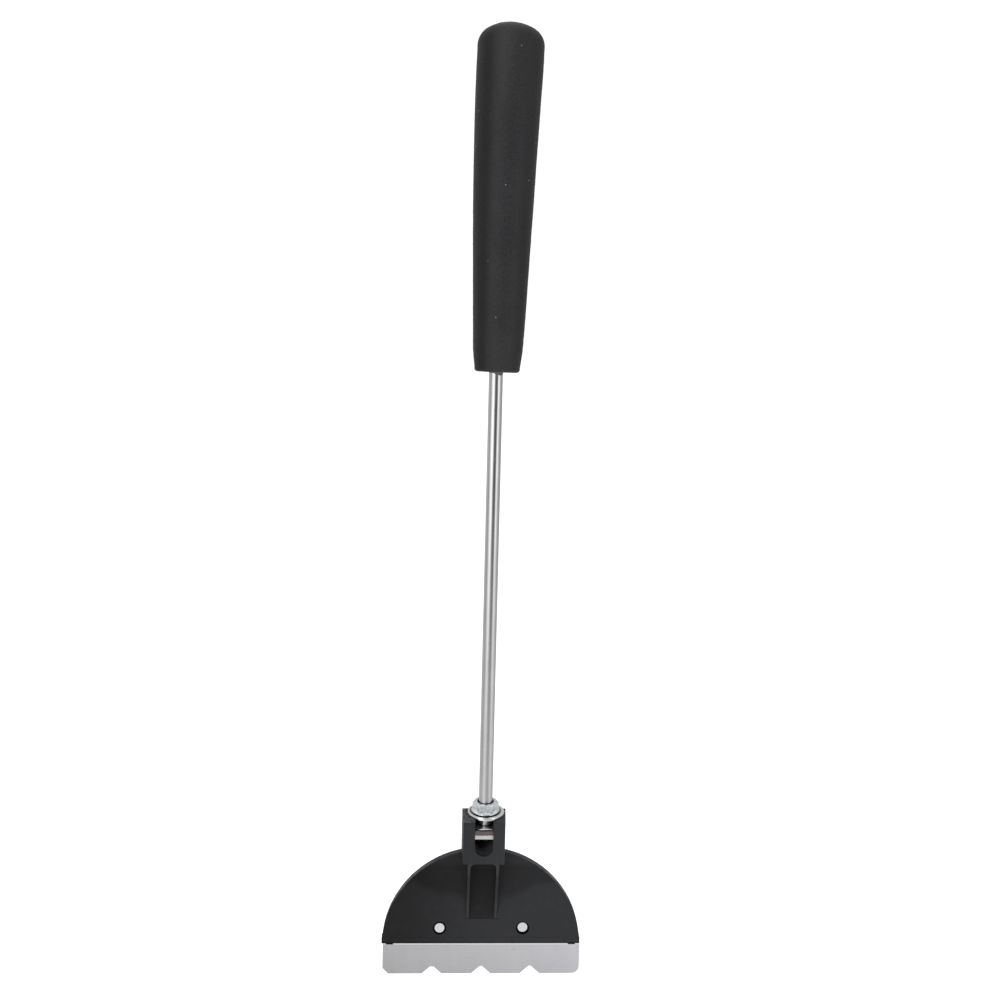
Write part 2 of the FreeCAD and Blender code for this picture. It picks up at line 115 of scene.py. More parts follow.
class Nodes:
    """Short calls for building one node tree."""

    def __init__(self, tree):
        self.tree = tree

    def add(self, kind, settings=None, **inputs):
        node = self.tree.nodes.new(kind)
        for name, value in (settings or {}).items():
            setattr(node, name, value)
        for name, value in inputs.items():
            self.feed(node.inputs[name.replace("_", " ")], value)
        return node

    def feed(self, socket, value):
        if isinstance(value, bpy.types.NodeSocket):
            self.tree.links.new(value, socket)
        else:
            socket.default_value = value

    def math(self, operation, a, b=0.0):
        node = self.add("ShaderNodeMath", {"operation": operation})
        self.feed(node.inputs[0], a)
        self.feed(node.inputs[1], b)
        return node.outputs[0]

    def total(self, first, *others):
        for other in others:
            first = self.math("ADD", first, other)
        return first

    def product(self, first, *others):
        for other in others:
            first = self.math("MULTIPLY", first, other)
        return first

    def length(self, a, b):
        """The length of a vector from its two parts."""
        return self.math("SQRT", self.total(self.product(a, a), self.product(b, b)))

    def remap(self, value, low, high, to_low=0.0, to_high=1.0, smooth=False):
        kind = "SMOOTHSTEP" if smooth else "LINEAR"
        node = self.add("ShaderNodeMapRange", {"interpolation_type": kind}, Value=value, From_Min=low,
                        From_Max=high, To_Min=to_low, To_Max=to_high)
        return node.outputs[0]

    def above(self, value, edge, blur, smooth=False):
        """1 where the value is over the edge, 0 under it, and a ramp within blur of it."""
        return self.remap(value, edge - blur, edge + blur, smooth=smooth)

    def below(self, value, edge, blur, smooth=False):
        """1 where the value is under the edge, 0 over it, and a ramp within blur of it."""
        return self.remap(value, edge + blur, edge - blur, smooth=smooth)

    def between(self, value, low, high, blur):
        return self.product(self.above(value, low, blur), self.below(value, high, blur))

    def mix_colour(self, factor, a, b, blend="MIX"):
        node = self.add("ShaderNodeMix", {"data_type": "RGBA", "blend_type": blend})
        self.feed(node.inputs[0], factor)
        self.feed(node.inputs[6], a)
        self.feed(node.inputs[7], b)
        return node.outputs[2]

    def mix_value(self, factor, a, b):
        node = self.add("ShaderNodeMix")
        self.feed(node.inputs[0], factor)
        self.feed(node.inputs[2], a)
        self.feed(node.inputs[3], b)
        return node.outputs[0]

    def colour(self, red, green, blue):
        return self.add("ShaderNodeCombineColor", Red=red, Green=green, Blue=blue).outputs[0]

    def place(self, scale=(1, 1, 1), shift=(0, 0, 0)):
        """Object coordinates, scaled and then shifted."""
        coordinates = self.add("ShaderNodeTexCoord").outputs["Object"]
        return self.add("ShaderNodeMapping", Vector=coordinates, Scale=scale, Location=shift).outputs[0]

    def axes(self, vector):
        return self.add("ShaderNodeSeparateXYZ", Vector=vector).outputs

    def noise(self, vector, scale, detail=3.0, roughness=0.5, distortion=0.0):
        node = self.add("ShaderNodeTexNoise", Vector=vector, Scale=scale, Detail=detail,
                        Roughness=roughness, Distortion=distortion)
        return node.outputs["Fac"]

    def cells(self, vector, scale):
        return self.add("ShaderNodeTexVoronoi", Vector=vector, Scale=scale).outputs["Distance"]

    def bump(self, height, distance, strength=1.0, under=None):
        node = self.add("ShaderNodeBump", Height=height, Distance=distance, Strength=strength)
        if under is not None:
            self.tree.links.new(under, node.inputs["Normal"])
        return node.outputs[0]


def grey(value, blue=0.0):
    return (value, value, value * (1 + blue), 1.0)


def new_material(name):
    """A material with its Principled node, and the node helper for its tree."""
    material = bpy.data.materials.new(name)
    material.use_nodes = True
    shader = material.node_tree.nodes["Principled BSDF"]
    return material, shader, Nodes(material.node_tree)


# --- Materials ------------------------------------------------------------------------------------------

def foam_material():
    """Closed-cell foam with a skin: fine open pores, mottling, painted shade along both sides, painted light
    along the middle and a little pale dust.
    """
    material, shader, n = new_material("black_foam")
    at = n.place()
    x, _, z = n.axes(at)
    pores = n.cells(at, 1500.0)
    fine = n.noise(at, 2600.0, 4.0, 0.65)
    mottle = n.noise(at, 1250.0, 2.0, 0.6)
    patches = n.noise(at, 55.0, 3.0, 0.55)
    tone = n.total(n.product(patches, 0.35), n.product(mottle, 0.65))
    colour = n.mix_colour(n.remap(tone, 0.3, 0.7), grey(0.0030, 0.10), grey(0.0165, 0.10))
    colour = n.mix_colour(n.remap(fine, 0.35, 0.75, 0.0, 0.6), colour, grey(0.028, 0.10))

    # Painted shade and light: the skin is painted darker along both sides, and painted paler along its
    # middle, most of all near the ends.
    left = n.remap(x, -3.0 * MM, -6.5 * MM, 1.0, 0.5, smooth=True)
    right = n.remap(x, 6.0 * MM, 10.0 * MM, 1.0, 0.75, smooth=True)
    painted_side_shade = n.product(left, right)
    colour = n.mix_colour(1.0, colour, n.colour(painted_side_shade, painted_side_shade, painted_side_shade), "MULTIPLY")
    ends = n.total(n.above(z, 42.5 * MM, 12.5 * MM, smooth=True),
                   n.below(z, -56.0 * MM, 6.0 * MM, smooth=True))
    middle = n.product(n.above(x, -2.0 * MM, 2.5 * MM, smooth=True),
                       n.below(x, 4.75 * MM, 3.25 * MM, smooth=True))
    lightened = n.product(middle, n.remap(ends, 0.0, 1.0, 0.0035, 0.0085))
    colour = n.mix_colour(1.0, colour, n.colour(lightened, lightened, lightened), "ADD")

    dust = n.below(n.cells(n.place(shift=(0.013, 0.021, 0.007)), 230.0), 0.045, 0.010)
    dusty = n.above(n.noise(at, 90.0, 2.0), 0.53, 0.03)
    colour = n.mix_colour(n.product(dust, dusty), colour, grey(0.30))
    n.feed(shader.inputs["Base Color"], colour)
    n.feed(shader.inputs["Roughness"], n.remap(mottle, 0.3, 0.7, 0.42, 0.60))
    shader.inputs["Specular IOR Level"].default_value = 0.27
    shader.inputs["Sheen Weight"].default_value = 0.01
    shader.inputs["Sheen Roughness"].default_value = 0.45
    under = n.bump(n.remap(pores, 0.0, 0.6), 0.09 * MM, 0.55)
    n.feed(shader.inputs["Normal"], n.bump(fine, 0.06 * MM, 0.6, under))
    return material


def adhesive_material():
    """Grey contact adhesive with crumbs of foam in it."""
    material, shader, n = new_material("grey_adhesive")
    crumbs = n.noise(n.place(), 1900.0, 3.0, 0.6)
    n.feed(shader.inputs["Base Color"], n.mix_colour(n.remap(crumbs, 0.4, 0.6), grey(0.035), grey(0.13)))
    n.feed(shader.inputs["Roughness"], n.remap(crumbs, 0.3, 0.7, 0.45, 0.8))
    n.feed(shader.inputs["Normal"], n.bump(crumbs, 0.1 * MM, 0.8))
    return material


def rod_material(low_z, high_z):
    """Drawn bright bar: long draw lines, a finer finish near the grip and more wear near the nut."""
    material, shader, n = new_material("bright_rod")
    _, _, z = n.axes(n.place())
    lower = n.remap(z, high_z, low_z, smooth=True)
    lines = n.noise(n.place(scale=(1, 1, 0.012)), 5200.0, 3.0, 0.6)
    grain = n.noise(n.place(scale=(1, 1, 0.35)), 4200.0, 2.0, 0.6)
    stain = n.noise(n.place(scale=(1, 1, 0.3)), 260.0, 3.0, 0.6)
    tone = n.total(n.product(lines, 0.5), n.product(stain, 0.5))
    colour = n.mix_colour(n.remap(tone, 0.35, 0.65), (0.60, 0.598, 0.60, 1), (0.70, 0.70, 0.705, 1))
    n.feed(shader.inputs["Base Color"], colour)
    shader.inputs["Metallic"].default_value = 1.0
    rough = n.total(n.mix_value(lower, 0.17, 0.30), n.remap(lines, 0.3, 0.7, -0.03, 0.05))
    n.feed(shader.inputs["Roughness"], rough)
    under = n.bump(lines, 0.006 * MM, 0.5)
    n.feed(shader.inputs["Normal"], n.bump(grain, 0.008 * MM, n.mix_value(lower, 0.15, 0.8), under))
    return material


def zinc_surface(name, dark_tone, light_tone):
    """Zinc plate on steel, without its colour linked: crystals and grain, paler towards both sides, and
    painted shade in the bore.
    """
    material, shader, n = new_material(name)
    at = n.place()
    x, y, _ = n.axes(at)
    grains = n.add("ShaderNodeTexVoronoi", Vector=at, Scale=1700.0).outputs["Color"]
    grain_tone = n.add("ShaderNodeSeparateColor", Color=grains).outputs["Red"]
    mottle = n.noise(at, 900.0, 4.0, 0.65)
    tone = n.total(n.product(grain_tone, 0.45), n.product(mottle, 0.55))
    colour = n.mix_colour(n.remap(tone, 0.25, 0.75), dark_tone, light_tone)
    # Paler towards both sides, more than 3.3 mm out from the rod's line.
    lightened = n.remap(n.math("ABSOLUTE", x), 3.3 * MM, 4.6 * MM, 0.0, 0.8)
    colour = n.mix_colour(lightened, colour, light_tone)
    # Painted shade: the countersink and bore are painted near black, as shade inside the nut.
    colour = n.mix_colour(n.remap(n.length(x, y), NUT_SINK_R, NUT_BORE_R), colour, grey(0.05))
    shader.inputs["Metallic"].default_value = 1.0
    n.feed(shader.inputs["Roughness"], n.remap(mottle, 0.3, 0.7, 0.20, 0.38))
    under = n.bump(grain_tone, 0.02 * MM, 0.5)
    n.feed(shader.inputs["Normal"], n.bump(mottle, 0.05 * MM, 0.6, under))
    return material, shader, n, colour


def flange_nut_material():
    """Zinc plate with a faint blue passivation."""
    material, shader, n, colour = zinc_surface("zinc_plate", (0.60, 0.645, 0.655, 1), (0.93, 0.97, 0.99, 1))
    n.feed(shader.inputs["Base Color"], colour)
    return material


def captive_nut_material(low_z):
    """Bright plating below, a brown band above it and painted shade under the nut's upper edge."""
    material, shader, n, colour = zinc_surface("zinc_plate_banded", (0.80, 0.795, 0.785, 1),
                                               (0.98, 0.975, 0.965, 1))
    at = n.place()
    _, _, z = n.axes(at)
    ragged = n.total(z, n.remap(n.noise(at, 700.0), 0.3, 0.7, -0.15 * MM, 0.15 * MM))
    brown_z, shade_z, shade_top_z = (low_z + rise for rise in (CAPTIVE_BROWN_RISE, CAPTIVE_SHADE_RISE,
                                                             CAPTIVE_SHADE_TOP))
    brown_band = n.between(ragged, brown_z, shade_z, 0.1 * MM)
    colour = n.mix_colour(brown_band, colour, (0.225, 0.180, 0.178, 1))
    # Painted shade: a dark band just under the nut's upper edge.
    painted_shade_band = n.between(ragged, shade_z, shade_top_z, 0.1 * MM)
    colour = n.mix_colour(painted_shade_band, colour, (0.055, 0.05, 0.047, 1))
    n.feed(shader.inputs["Base Color"], colour)
    return material


def polished_material(name, centre_x, roughness, shade_above=None):
    """Turned and polished steel with fine scuffs, and painted shade on its face above a height, inside the
    flange nut's radius.
    """
    material, shader, n = new_material(name)
    at = n.place(shift=(-centre_x, 0, 0))
    scuffs = n.noise(at, 1300.0, 4.0, 0.7, 1.5)
    marks = n.noise(n.place(scale=(1, 1, 6)), 2600.0, 2.0, 0.6)
    colour = n.mix_colour(n.remap(scuffs, 0.35, 0.65), grey(0.86), grey(0.99))
    if shade_above is not None:
        # Painted shade: the top is painted dark inside the flange nut's radius, where the nut shades it.
        x, y, z = n.axes(at)
        inside = n.below(n.length(x, y), FLANGE_SHADE_R, 0.2 * MM)
        painted_shade = n.product(inside, n.remap(z, shade_above, shade_above + 0.1 * MM))
        shade_tone = n.mix_colour(n.remap(scuffs, 0.4, 0.6), grey(0.10), grey(0.30))
        colour = n.mix_colour(painted_shade, colour, shade_tone)
    n.feed(shader.inputs["Base Color"], colour)
    shader.inputs["Metallic"].default_value = 1.0
    n.feed(shader.inputs["Roughness"], n.remap(marks, 0.3, 0.7, roughness, roughness + 0.10))
    n.feed(shader.inputs["Normal"], n.bump(scuffs, 0.012 * MM, 0.6))
    return material


def plastic_material(low, high, rivets):
    """Injection-moulded black plastic: satin skin, flow marks, a little dust, and painted light and shade on
    the plate, neck, slot and rivet recesses.

    The corners of the head's box and the (x, z) centres of its rivets place the marks.
    """
    material, shader, n = new_material("black_plastic")
    at = n.place()
    x, y, z = n.axes(at)
    skin = n.noise(at, 5200.0, 3.0, 0.6)
    flow = n.noise(n.place(scale=(1, 1, 0.7), shift=(0.011, 0.0, 0.004)), 44.0, 2.0, 0.45, 0.4)
    haze = n.noise(at, 260.0, 4.0, 0.6)
    across = n.remap(x, low.x, high.x)
    from_middle = n.math("SUBTRACT", x, (low.x + high.x) / 2)
    aside = n.math("ABSOLUTE", from_middle)
    neck_foot_z = high.z - NECK_LENGTH
    slot_foot_z = high.z - SLOT_LENGTH
    not_back = n.below(y, high.y - 1.7 * MM, 0.2 * MM)

    # Painted light and shade: the half-moon is painted darker to the left, and paler low down beyond a wavy
    # edge.
    wavy = n.total(z, n.remap(flow, 0.35, 0.65, 5.0 * MM, -5.0 * MM))
    lower = n.below(wavy, high.z - 35.5 * MM, 2.5 * MM, smooth=True)
    painted_lower_light = n.product(lower, n.remap(across, 0.15, 0.55, 0.0058, 0.0080))
    shade = n.total(n.remap(across, 0.05, 0.55, 0.0040, 0.0140, smooth=True), painted_lower_light)

    # Painted highlight: its upper rim is painted paler, as a shine along the edge.
    rise = n.math("SUBTRACT", z, low.z - PLATE_CENTRE_DROP)
    reach = n.length(from_middle, rise)
    painted_rim_highlight = n.product(n.above(reach, PLATE_R - 0.21 * MM, 0.09 * MM),
                    n.below(reach, PLATE_R + 0.3 * MM, 0.1 * MM))
    high_up = n.above(rise, 21.0 * MM, 4.0 * MM, smooth=True)
    shade = n.total(shade, n.product(painted_rim_highlight, high_up, n.remap(haze, 0.4, 0.6, 0.030, 0.075)))

    # Painted shade: the channel between the ribs is painted darker.
    painted_channel_shade = n.product(n.below(aside, CHANNEL_HALF_WIDTH + 0.05 * MM, 0.25 * MM),
                        n.below(z, neck_foot_z - 0.5 * MM, 0.5 * MM),
                        n.above(z, low.z + CHANNEL_FOOT_RISE + 0.05 * MM, 0.25 * MM), not_back)
    shade = n.mix_value(painted_channel_shade, shade, 0.0105)

    # Painted light: the neck is painted paler, above all its front, and more to the right than to the left.
    front = n.remap(y, high.y, low.y + 2.0 * MM, 0.45, 1.0, smooth=True)
    neck = n.remap(z, neck_foot_z, slot_foot_z, smooth=True)
    shade = n.mix_value(n.product(front, neck), shade, n.remap(across, 0.40, 0.60, 0.0205, 0.0262))
    shade = n.total(shade, n.remap(haze, 0.48, 0.75, 0.0, 0.003))

    # Painted light: the inside of the slot is painted paler, as light reaching into it. Dust lies on the
    # left of the neck's top.
    inside = n.product(n.below(aside, POCKET_HALF_WIDTH + 0.4 * MM, 0.2 * MM),
                       n.above(z, slot_foot_z - 0.25 * MM, 0.25 * MM),
                       n.above(y, low.y + 1.6 * MM, 0.4 * MM), not_back)
    shade = n.math("MAXIMUM", shade, n.product(inside, 0.048))
    dust = n.product(n.above(z, high.z - 0.35 * MM, 0.15 * MM),
                     n.above(n.noise(at, 900.0, 3.0, 0.6), 0.52, 0.10),
                     n.remap(across, 0.46, 0.52, 1.0, 0.15))
    shade = n.total(shade, n.product(dust, 0.085))

    # Painted shade: the plate's lower edge, along its gap above the blade, and the recesses round the rivets
    # are painted near black.
    shade = n.product(shade, n.remap(z, low.z + PLATE_EDGE_RISE + 0.25 * MM,
                                     low.z + PLATE_EDGE_RISE + 0.6 * MM, 0.1, 1.0))
    # Painted shade in each rivet's recess.
    for rivet_x, rivet_z in rivets:
        away = n.length(n.math("SUBTRACT", x, rivet_x), n.math("SUBTRACT", z, rivet_z))
        shade = n.product(shade, n.remap(away, RECESS_R - 0.05 * MM, RECESS_R + 0.2 * MM, 0.05, 1.0))

    n.feed(shader.inputs["Base Color"], n.colour(shade, n.product(shade, 1.02), n.product(shade, 1.10)))
    rough = n.total(n.remap(flow, 0.35, 0.65, 0.36, 0.46), n.remap(haze, 0.4, 0.7, -0.02, 0.05))
    n.feed(shader.inputs["Roughness"], rough)
    shader.inputs["Specular IOR Level"].default_value = 0.14
    under = n.bump(flow, 0.4 * MM, 0.3)
    n.feed(shader.inputs["Normal"], n.bump(skin, 0.01 * MM, 0.5, under))
    return material


def blade_material(low, high, edge_z):
    """Satin stainless sheet, rolled along the blade, painted paler to the right and darker towards the
    bottom, with a painted highlight just under the plate's edge at edge_z.
    """
    material, shader, n = new_material("blade_steel")
    at = n.place()
    x, _, z = n.axes(at)
    rolled = n.noise(n.place(scale=(0.03, 1, 1)), 5200.0, 3.0, 0.65)
    streaks = n.noise(n.place(scale=(1, 1, 0.25)), 160.0, 3.0, 0.6)
    cloud = n.noise(at, 48.0, 3.0, 0.5)
    scratch = n.noise(n.place(scale=(1, 1, 0.05)), 2300.0, 1.0, 0.5, 0.4)
    blotch = n.noise(n.place(scale=(1, 1, 1.6), shift=(0.03, 0, 0.02)), 210.0, 2.0, 0.5)
    tone = n.total(n.product(cloud, 0.6), n.product(streaks, 0.4))
    # Painted light: paler to the right and towards the top, and a painted highlight just under the plate's
    # edge.
    shade = n.total(n.remap(tone, 0.35, 0.65, -0.03, 0.03), n.remap(x, low.x, high.x, 0.572, 0.768),
                    n.remap(z, low.z, edge_z, -0.060, 0.035),
                    n.remap(z, edge_z - 1.1 * MM, edge_z - 0.1 * MM, 0.0, 0.55, smooth=True),
                    n.remap(rolled, 0.45, 0.7, 0.0, 0.03))
    shade = n.math("SUBTRACT", shade, n.remap(blotch, 0.66, 0.72, 0.0, 0.08))
    blue = n.product(shade, n.remap(x, low.x, high.x, 1.015, 1.045))
    n.feed(shader.inputs["Base Color"], n.colour(shade, shade, blue))
    shader.inputs["Metallic"].default_value = 1.0
    rough = n.total(n.remap(cloud, 0.35, 0.65, 0.33, 0.40), n.remap(scratch, 0.62, 0.7, 0.0, 0.08))
    n.feed(shader.inputs["Roughness"], rough)
    n.feed(shader.inputs["Normal"], n.bump(rolled, 0.006 * MM, 0.6))
    return material


# --- Mesh helpers ---------------------------------------------------------------------------------------

def make_object(name, mesh):
    """Turns a bmesh into an object of the scene, and frees the bmesh."""
    data = bpy.data.meshes.new(name)
    mesh.to_mesh(data)
    mesh.free()
    made = bpy.data.objects.new(name, data)
    bpy.context.scene.collection.objects.link(made)
    return made


def make_piece(name, mesh):
    """The same for a smooth closed piece, with its faces turned outwards."""
    bmesh.ops.recalc_face_normals(mesh, faces=mesh.faces)
    piece = make_object(name, mesh)
    for polygon in piece.data.polygons:
        polygon.use_smooth = True
    return piece


def outward(angle):
    """The direction away from the Z axis at an angle round it."""
    return Vector((math.cos(angle), math.sin(angle), 0))


def around(segments):
    return [2 * math.pi * i / segments for i in range(segments)]


# --- The foam grip --------------------------------------------------------------------------------------

def arc_through(a, b, c, step):
    """Points on the circle arc from a through b to c, about a step apart, without a itself."""
    (ax, ay), (bx, by), (cx, cy) = a, b, c
    d = 2 * (ax * (by - cy) + bx * (cy - ay) + cx * (ay - by))
    sa, sb, sc = ax * ax + ay * ay, bx * bx + by * by, cx * cx + cy * cy
    centre_x = (sa * (by - cy) + sb * (cy - ay) + sc * (ay - by)) / d
    centre_y = (sa * (cx - bx) + sb * (ax - cx) + sc * (bx - ax)) / d
    radius = math.hypot(ax - centre_x, ay - centre_y)
    start = math.atan2(ay - centre_y, ax - centre_x)
    end = math.atan2(cy - centre_y, cx - centre_x)
    sweep = (end - start + math.pi) % (2 * math.pi) - math.pi
    count = max(2, round(abs(sweep) * radius / step))
    angles = [start + sweep * i / count for i in range(1, count + 1)]
    return [(centre_x + radius * math.cos(t), centre_y + radius * math.sin(t)) for t in angles]


def line_to(a, b, step):
    """Points from a to b, about a step apart, without a itself."""
    dx, dy = b[0] - a[0], b[1] - a[1]
    count = max(1, round(math.hypot(dx, dy) / step))
    return [(a[0] + dx * i / count, a[1] + dy * i / count) for i in range(1, count + 1)]


def grip_profile():
    """(radius, rise) points up the grip's outside, from its foot's rim to just off the crown's pole."""
    step = GRIP_RING_STEP
    shoulder_x = GRIP_MAX_R - GRIP_SHOULDER_R
    crown_z = GRIP_LENGTH - GRIP_CROWN_R
    shoulder_z = crown_z + math.sqrt((GRIP_CROWN_R - GRIP_SHOULDER_R) ** 2 - shoulder_x ** 2)
    tangent = math.atan2(shoulder_z - crown_z, shoulder_x)

    def on_shoulder(angle):
        return shoulder_x + GRIP_SHOULDER_R * math.cos(angle), shoulder_z + GRIP_SHOULDER_R * math.sin(angle)

    def on_crown(angle):
        return GRIP_CROWN_R * math.cos(angle), crown_z + GRIP_CROWN_R * math.sin(angle)

    foot = (GRIP_FOOT_R, 0.0)
    toe = (GRIP_TOE_R, GRIP_TOE_RISE)
    toe_corner = ((GRIP_FOOT_R + 2 * GRIP_TOE_R) / 3, GRIP_TOE_CORNER_RISE)
    neck = (GRIP_NECK_R, GRIP_NECK_RISE)
    widest = (GRIP_MAX_R, GRIP_MAX_RISE)
    crown_start = on_shoulder(tangent)
    pole = on_crown(math.pi / 2 - 0.012)
    points = [foot]
    points += arc_through(foot, toe_corner, toe, step / 2)
    points += line_to(toe, neck, step)
    points += arc_through(neck, (GRIP_MID_R, GRIP_MID_RISE), widest, step)
    points += line_to(widest, (GRIP_MAX_R, shoulder_z), step)
    points += arc_through(points[-1], on_shoulder(tangent / 2), crown_start, step)
    points += arc_through(crown_start, on_crown((tangent + math.pi / 2) / 2), pole, step)
    return points


def foam_swell(point):
    """How far the foam's surface stands off its outline: slow unevenness, lumps and fine cells."""
    slow = noise.noise(point * 38.0 + Vector((3.1, 0.4, 7.7)))
    lumps = noise.noise(point * 160.0 + Vector((0.7, 5.2, 1.3)))
    cells = noise.noise(point * 760.0)
    return 0.07 * MM * slow + 0.045 * MM * lumps + 0.05 * MM * cells


def revolve(name, rings, swell):
    """A closed piece of rings about the Z axis, each (radius, height), with a pole at both ends."""
    mesh = bmesh.new()
    made = []
    for radius, height in rings:
        ring = []
        for angle in around(GRIP_SEGMENTS):
            point = outward(angle) * radius + Vector((0, 0, height))
            point += outward(angle) * swell(point, radius)
            ring.append(mesh.verts.new(point))
        made.append(ring)
    for lower, upper in zip(made, made[1:]):
        for i in range(GRIP_SEGMENTS):
            j = (i + 1) % GRIP_SEGMENTS
            mesh.faces.new((lower[i], lower[j], upper[j], upper[i]))
    for ring, downwards in ((made[0], True), (made[-1], False)):
        pole = mesh.verts.new(sum((v.co for v in ring), Vector()) / GRIP_SEGMENTS)
        for i in range(GRIP_SEGMENTS):
            j = (i + 1) % GRIP_SEGMENTS
            mesh.faces.new((ring[j], ring[i], pole) if downwards else (ring[i], ring[j], pole))
    return make_piece(name, mesh)


def grip_placement():
    """Where the grip's foot is and how it leans, from the CAD node's own box."""
    low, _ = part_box("foam_grip")
    foot_z = low.z + GRIP_FOOT_R * math.sin(GRIP_LEAN)
    return Matrix.Translation((GRIP_OFFSET_X, 0, foot_z)) @ Matrix.Rotation(GRIP_LEAN, 4, "Y")


def grip_bend(rise):
    """How far the soft grip bends towards +X at a height above its foot."""
    along = min(max(rise / GRIP_LENGTH, 0.0), 1.0)
    crown = min(max((along - CROWN_SHIFT_START) / (CROWN_SHIFT_END - CROWN_SHIFT_START), 0.0), 1.0)
    return CROWN_SHIFT * crown ** 2 * (3 - 2 * crown) - GRIP_BOW * math.sin(math.pi * along) ** 2


def build_grip():
    """The grip as one closed foam body with the rod's hole up its middle.

    It leans and bends as a whole, except within the hole's radius of the rod's line. What is there
    stays upright: the hole, and with it the middle of the crown, where the skin folds over.
    """
    _, rod_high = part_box("handle_rod")
    place = grip_placement()
    foot_z = place.translation.z
    hole_rise = rod_high.z - foot_z + ROD_HOLE_SPARE
    rises = (hole_rise, hole_rise / 2, 4.0 * MM, HOLE_BEVEL)
    hole = [(ROD_HOLE_R, rise) for rise in rises]
    mouth = [(ROD_HOLE_R + 0.12 * MM, 0.12 * MM), (ROD_HOLE_R + HOLE_BEVEL, 0.0)]
    foot = line_to(mouth[-1], (GRIP_FOOT_R, 0.0), GRIP_RING_STEP)[:-1]
    smooth_r = ROD_HOLE_R + HOLE_BEVEL + 0.1 * MM

    def swell(point, radius):
        return foam_swell(point) if radius > smooth_r else 0.0

    piece = revolve("foam_grip_soft", hole + mouth + foot + grip_profile(), swell)
    for vertex in piece.data.vertices:
        rise = vertex.co.z
        if math.hypot(vertex.co.x, vertex.co.y) > ROD_HOLE_R + 0.01 * MM:
            vertex.co = place @ vertex.co
            vertex.co.x += grip_bend(rise)
        else:
            vertex.co.z = foot_z + rise
    return piece


def build_adhesive():
    """Squeezed-out adhesive and foam crumbs in the corner between the rod and the grip's foot.

    The ring's outside curves from under the foot down to the rod, lowest at the front right.
    """
    low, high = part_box("handle_rod")
    rod_r = (high.x - low.x) / 2
    segments, steps = 72, 8
    thickest = math.radians(-58)
    overlap = 0.10 * MM
    top_z = grip_placement().translation.z + overlap
    mesh = bmesh.new()
    loops = []
    for angle in around(segments):
        out = outward(angle)
        front = max(0.0, math.cos(angle - thickest)) ** 3
        ragged = noise.noise(out * 2.4 + Vector((4.0, 1.0, 2.0))) + 0.5 * noise.noise(out * 6.0)
        drop = max(0.25 + 1.0 * front + 0.25 * ragged, 0.2) * MM
        reach = max(0.25 + 0.35 * front + 0.12 * ragged, 0.25) * MM
        loop = []
        for k in range(steps + 1):
            t = k / steps
            radius = rod_r + 0.02 * MM + reach * (1 - math.sin(t * math.pi / 2)) ** 1.2
            z = top_z - (drop + overlap) * (1 - math.cos(t * math.pi / 2)) ** 0.8
            point = out * radius + Vector((0, 0, z))
            bulge = noise.noise(point * 1500.0) * 0.06 * MM * math.sin(t * math.pi)
            loop.append(mesh.verts.new(point + out * max(bulge, -0.04 * MM)))
        loop.append(mesh.verts.new(out * (rod_r + 0.01 * MM) + Vector((0, 0, top_z))))
        loops.append(loop)
    for i, a in enumerate(loops):
        b = loops[(i + 1) % segments]
        for k in range(len(a)):
            m = (k + 1) % len(a)
            mesh.faces.new((a[k], b[k], b[m], a[m]))
    return make_piece("grip_adhesive", mesh)


grip = build_grip()
grip.data.materials.append(foam_material())
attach(grip, "handle")
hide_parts("foam_grip")

adhesive = build_adhesive()
adhesive.data.materials.append(adhesive_material())
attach(adhesive, "handle")


# --- CAD nodes ------------------------------------------------------------------------------------------

def dress(name, material):
    """Gives a CAD node its material."""
    node = nodes[name]
    node.data.materials.clear()
    node.data.materials.append(material)


def middle_of(name):
    """The (x, z) middle of a node's box."""
    low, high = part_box(name)
    return (low.x + high.x) / 2, (low.z + high.z) / 2


rod_low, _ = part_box("handle_rod")
grip_low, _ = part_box("foam_grip")
captive_nut_low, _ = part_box("neck_nut")
_, washer_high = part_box("washer")
head_low, head_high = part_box("scraper_head")
rivet_names = ("blade_rivet_left", "blade_rivet_right")
dress("handle_rod", rod_material(rod_low.z, grip_low.z))
dress("flange_nut", flange_nut_material())
dress("neck_nut", captive_nut_material(captive_nut_low.z))
dress("washer", polished_material("polished_steel", 0.0, 0.10, washer_high.z - 0.12 * MM))
dress("scraper_head", plastic_material(head_low, head_high, [middle_of(name) for name in rivet_names]))
dress("scraper_blade", blade_material(*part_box("scraper_blade"), head_low.z))
for name in rivet_names:
    dress(name, polished_material("polished_" + name, middle_of(name)[0], 0.22))

# --- Studio ---------------------------------------------------------------------------------------------

FLOOR_DROP = 60 * MM      # the head moves down as it unscrews, so the floor is clear of it
FLOOR_HALF_SIZE = 30.0

CAMERA_DISTANCE = 412.9 * MM
CAMERA_BEARING = math.radians(2.2)      # how far round from the front it stands, towards -X
CAMERA_Z = -65.6 * MM
CAMERA_HEADING = math.radians(2.555)    # how far it turns towards +X
CAMERA_DIP = math.atan(75.5 / 975)
CAMERA_ROLL = math.radians(1.418)
CAMERA_SENSOR = 36.0
CAMERA_LENS = 35.06
CAMERA_SHIFT_Y = -0.065

